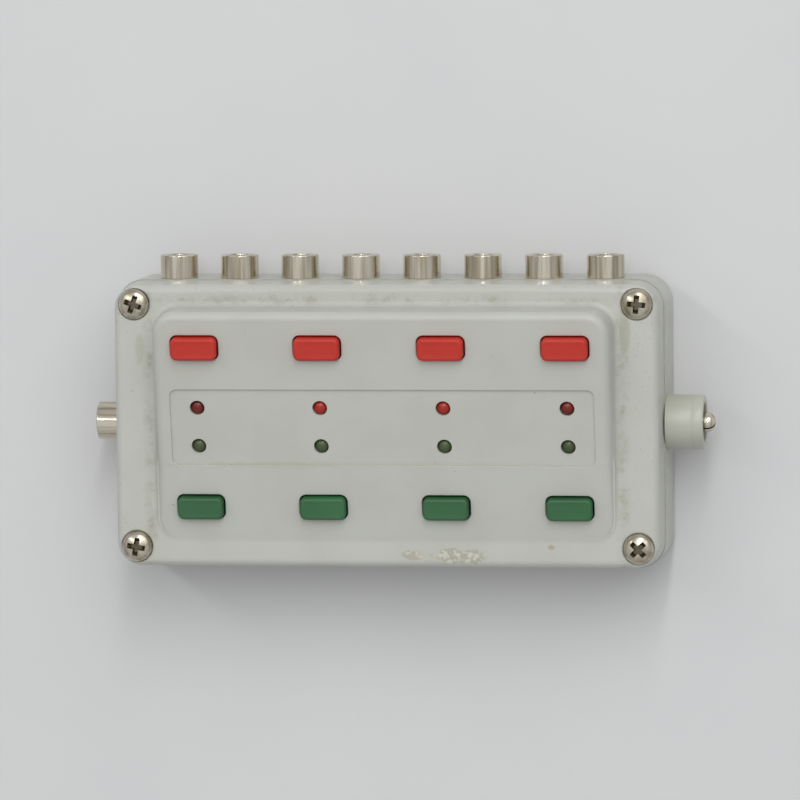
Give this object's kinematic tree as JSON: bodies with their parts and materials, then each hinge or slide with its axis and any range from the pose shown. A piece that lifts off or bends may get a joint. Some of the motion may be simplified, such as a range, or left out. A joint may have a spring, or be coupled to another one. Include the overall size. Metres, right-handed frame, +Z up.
{
  "type": "push-button control box",
  "caption": "Small desktop control box with a sloped keypad of red and green sprung keys, signal lamps, plug sockets behind and link contacts at both ends.",
  "frame": {"origin": "centre of the housing's underside", "axes": "+X to the end with the link pin, +Y to the row of sockets, +Z up"},
  "size_m": [0.0793, 0.0396, 0.0203],
  "materials": {
    "housing_plastic": "light grey moulded ABS, fine satin grain",
    "sleeve_plastic": "grey moulded plastic, slightly yellower than the housing",
    "screw_nickel": "nickel-plated steel",
    "red_key_plastic": "red moulded plastic, satin",
    "green_key_plastic": "green moulded plastic, satin",
    "plunger_plastic": "natural acetal",
    "spring_steel": "bright steel",
    "switch_case_plastic": "black moulded plastic",
    "terminal_brass": "tinned brass",
    "board_laminate": "paper laminate board with copper tracks under green lacquer",
    "red_lamp_resin": "clear red epoxy",
    "green_lamp_resin": "clear green epoxy",
    "tinned_lead": "tinned steel wire",
    "socket_nickel": "nickel-plated turned brass",
    "copper_wire": "bare copper wire",
    "chip_epoxy": "black moulded epoxy",
    "resistor_lacquer": "tan lacquer with colour bands",
    "capacitor_lacquer": "red-brown lacquer"
  },
  "bodies": {
    "housing": {"base_tray": "housing_plastic", "top_cover": "housing_plastic", "cover_screws": "screw_nickel", "red_return_spring_1": "spring_steel", "red_return_spring_2": "spring_steel", "red_return_spring_3": "spring_steel", "red_return_spring_4": "spring_steel", "green_return_spring_1": "spring_steel", "green_return_spring_2": "spring_steel", "green_return_spring_3": "spring_steel", "green_return_spring_4": "spring_steel", "switch_cases": "switch_case_plastic", "switch_cover_plates": "spring_steel", "switch_terminals": "terminal_brass", "circuit_board": "board_laminate", "board_screws": "screw_nickel", "red_lamps": "red_lamp_resin", "green_lamps": "green_lamp_resin", "lamp_leads": "tinned_lead", "line_socket_1": "socket_nickel", "line_socket_2": "socket_nickel", "line_socket_3": "socket_nickel", "line_socket_4": "socket_nickel", "line_socket_5": "socket_nickel", "line_socket_6": "socket_nickel", "line_socket_7": "socket_nickel", "line_socket_8": "socket_nickel", "link_socket": "socket_nickel", "link_sleeve": "sleeve_plastic", "link_pin": "socket_nickel", "socket_lock_rings": "spring_steel", "socket_wires": "copper_wire", "latch_chip": "chip_epoxy", "chip_pins": "tinned_lead", "lamp_resistors": "resistor_lacquer", "resistor_leads": "tinned_lead", "filter_capacitor": "capacitor_lacquer", "capacitor_leads": "tinned_lead"},
    "red_key_1": {"red_button_1": "red_key_plastic", "red_plunger_1": "plunger_plastic"},
    "red_key_2": {"red_button_2": "red_key_plastic", "red_plunger_2": "plunger_plastic"},
    "red_key_3": {"red_button_3": "red_key_plastic", "red_plunger_3": "plunger_plastic"},
    "red_key_4": {"red_button_4": "red_key_plastic", "red_plunger_4": "plunger_plastic"},
    "green_key_1": {"green_button_1": "green_key_plastic", "green_plunger_1": "plunger_plastic"},
    "green_key_2": {"green_button_2": "green_key_plastic", "green_plunger_2": "plunger_plastic"},
    "green_key_3": {"green_button_3": "green_key_plastic", "green_plunger_3": "plunger_plastic"},
    "green_key_4": {"green_button_4": "green_key_plastic", "green_plunger_4": "plunger_plastic"}
  },
  "joints": [
    {"name": "red_key_1_press", "type": "slide", "parent": "housing", "child": "red_key_1", "axis": [0, 0.1805, -0.9836], "range_m": [0, 0.0008], "stiffness_N_per_m": 800, "springref_m": -0.0005, "deforming": ["red_return_spring_1"]},
    {"name": "red_key_2_press", "type": "slide", "parent": "housing", "child": "red_key_2", "axis": [0, 0.1805, -0.9836], "range_m": [0, 0.0008], "stiffness_N_per_m": 800, "springref_m": -0.0005, "deforming": ["red_return_spring_2"]},
    {"name": "red_key_3_press", "type": "slide", "parent": "housing", "child": "red_key_3", "axis": [0, 0.1805, -0.9836], "range_m": [0, 0.0008], "stiffness_N_per_m": 800, "springref_m": -0.0005, "deforming": ["red_return_spring_3"]},
    {"name": "red_key_4_press", "type": "slide", "parent": "housing", "child": "red_key_4", "axis": [0, 0.1805, -0.9836], "range_m": [0, 0.0008], "stiffness_N_per_m": 800, "springref_m": -0.0005, "deforming": ["red_return_spring_4"]},
    {"name": "green_key_1_press", "type": "slide", "parent": "housing", "child": "green_key_1", "axis": [0, 0.1805, -0.9836], "range_m": [0, 0.0008], "stiffness_N_per_m": 800, "springref_m": -0.0005, "deforming": ["green_return_spring_1"]},
    {"name": "green_key_2_press", "type": "slide", "parent": "housing", "child": "green_key_2", "axis": [0, 0.1805, -0.9836], "range_m": [0, 0.0008], "stiffness_N_per_m": 800, "springref_m": -0.0005, "deforming": ["green_return_spring_2"]},
    {"name": "green_key_3_press", "type": "slide", "parent": "housing", "child": "green_key_3", "axis": [0, 0.1805, -0.9836], "range_m": [0, 0.0008], "stiffness_N_per_m": 800, "springref_m": -0.0005, "deforming": ["green_return_spring_3"]},
    {"name": "green_key_4_press", "type": "slide", "parent": "housing", "child": "green_key_4", "axis": [0, 0.1805, -0.9836], "range_m": [0, 0.0008], "stiffness_N_per_m": 800, "springref_m": -0.0005, "deforming": ["green_return_spring_4"]}
  ]
}
